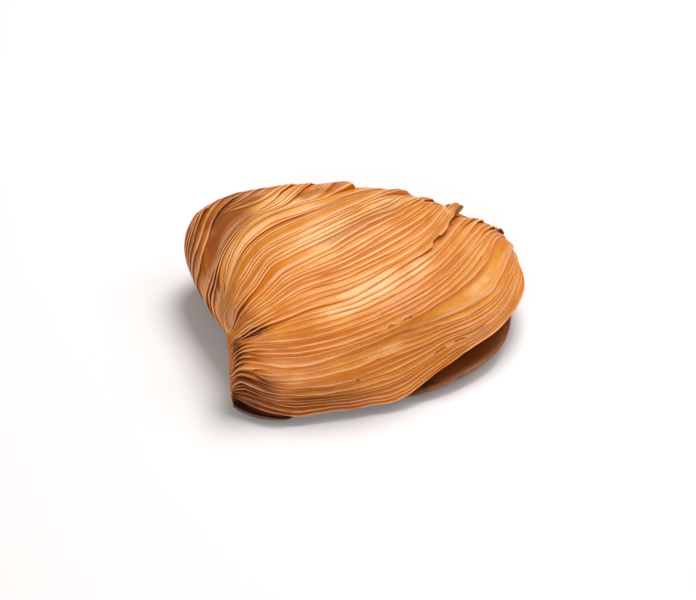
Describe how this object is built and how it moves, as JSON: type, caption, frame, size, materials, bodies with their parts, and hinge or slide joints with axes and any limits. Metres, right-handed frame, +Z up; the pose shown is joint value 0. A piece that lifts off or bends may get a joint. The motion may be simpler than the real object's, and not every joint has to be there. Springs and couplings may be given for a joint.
{
  "type": "sfogliatella",
  "caption": "Baked shell-shaped pastry of thin leaves fanned between two pinched corners, with a slit over a lower leaf at the front.",
  "frame": {"origin": "on the table, under the middle of the pastry's bounding box", "axes": "+X from the near corner, where the leaves draw together, to the far corner; +Y from the slit to the back; +Z up"},
  "size_m": [0.112, 0.1004, 0.0398],
  "materials": {
    "crust": "thin, crisp, golden brown baked pastry leaves with a soft sheen, darker at the corners and in the slit"
  },
  "bodies": {
    "root": {"sfogliatella": "crust"}
  },
  "joints": []
}
